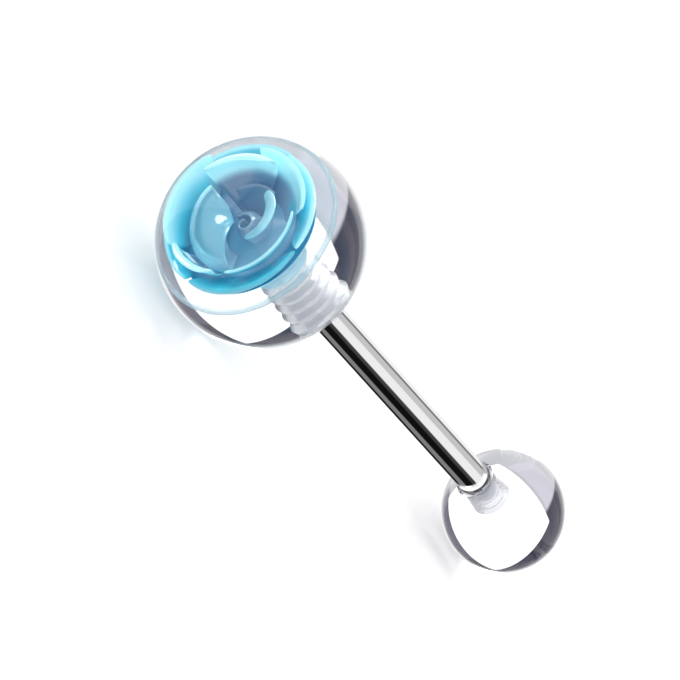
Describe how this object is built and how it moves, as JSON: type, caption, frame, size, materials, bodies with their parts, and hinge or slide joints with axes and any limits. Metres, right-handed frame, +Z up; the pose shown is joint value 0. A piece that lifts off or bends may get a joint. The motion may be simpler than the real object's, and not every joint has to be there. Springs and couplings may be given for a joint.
{
  "type": "tongue barbell",
  "caption": "Straight steel tongue barbell with two clear screw-on balls, the larger one with a blue rose set inside it.",
  "frame": {"origin": "bottom centre of the bounding box, on the ground between the two balls as the barbell lies", "axes": "+Z up; X along the lying barbell, with the rose ball at -X and the end ball at +X; -Y faces the viewer"},
  "size_m": [0.0316, 0.01, 0.01],
  "materials": {
    "polished_steel": "mirror polished surgical steel",
    "clear_acrylic": "clear polished acrylic",
    "rose_backing": "thin clear disc with a faint pearly edge",
    "rose_petal": "pearly translucent blue"
  },
  "bodies": {
    "bar": {"bar": "polished_steel"},
    "rose_ball": {"rose_ball": "clear_acrylic", "rose_disc": "rose_backing", "rose_base": "rose_petal", "bud": "rose_petal", "outer_petal_1": "rose_petal", "outer_petal_2": "rose_petal", "outer_petal_3": "rose_petal", "outer_petal_4": "rose_petal", "cup_petal_1": "rose_petal", "cup_petal_2": "rose_petal", "cup_petal_3": "rose_petal", "cup_petal_4": "rose_petal", "cup_petal_5": "rose_petal", "inner_petal_1": "rose_petal", "inner_petal_2": "rose_petal", "inner_petal_3": "rose_petal"},
    "end_ball": {"end_ball": "clear_acrylic"}
  },
  "joints": [
    {"name": "rose_ball_unscrew", "type": "slide", "parent": "bar", "child": "rose_ball", "axis": [-0.9964, 0, 0.0844], "range_m": [0, 0.0042]},
    {"name": "end_ball_unscrew", "type": "slide", "parent": "bar", "child": "end_ball", "axis": [0.9964, 0, -0.0844], "range_m": [0, 0.0028]}
  ]
}
